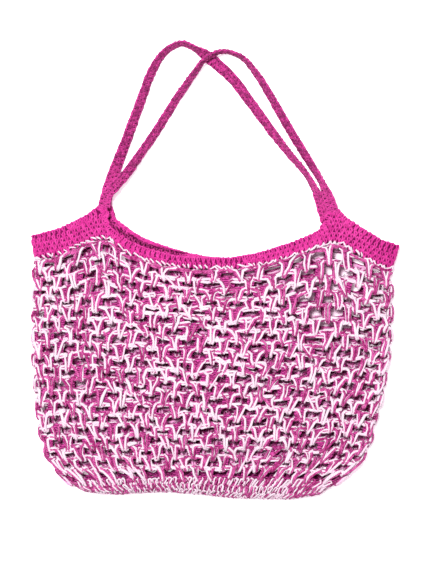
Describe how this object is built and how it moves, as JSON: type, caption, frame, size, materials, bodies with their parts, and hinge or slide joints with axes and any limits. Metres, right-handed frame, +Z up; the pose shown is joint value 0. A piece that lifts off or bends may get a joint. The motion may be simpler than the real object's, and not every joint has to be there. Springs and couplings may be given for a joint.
{
  "type": "crocheted net tote bag",
  "caption": "Empty crocheted net tote bag lying flat, with a dense base, an offset-gap mesh body, a solid scooped rim and strap handles crossed above the mouth.",
  "frame": {"origin": "middle of the footprint, on the surface that the bag lies on", "axes": "+X across the bag to its right side, +Y from the base towards the handles, +Z up out of the front face"},
  "size_m": [0.402, 0.5054, 0.0255],
  "materials": {
    "two_tone_yarn": "two soft yarns held together, magenta and pale pink",
    "magenta_yarn": "soft matt yarn in dense single crochet"
  },
  "bodies": {
    "root": {"base": "two_tone_yarn", "net_body": "two_tone_yarn", "rim_band": "magenta_yarn", "front_handle": "magenta_yarn", "back_handle": "magenta_yarn"}
  },
  "joints": []
}
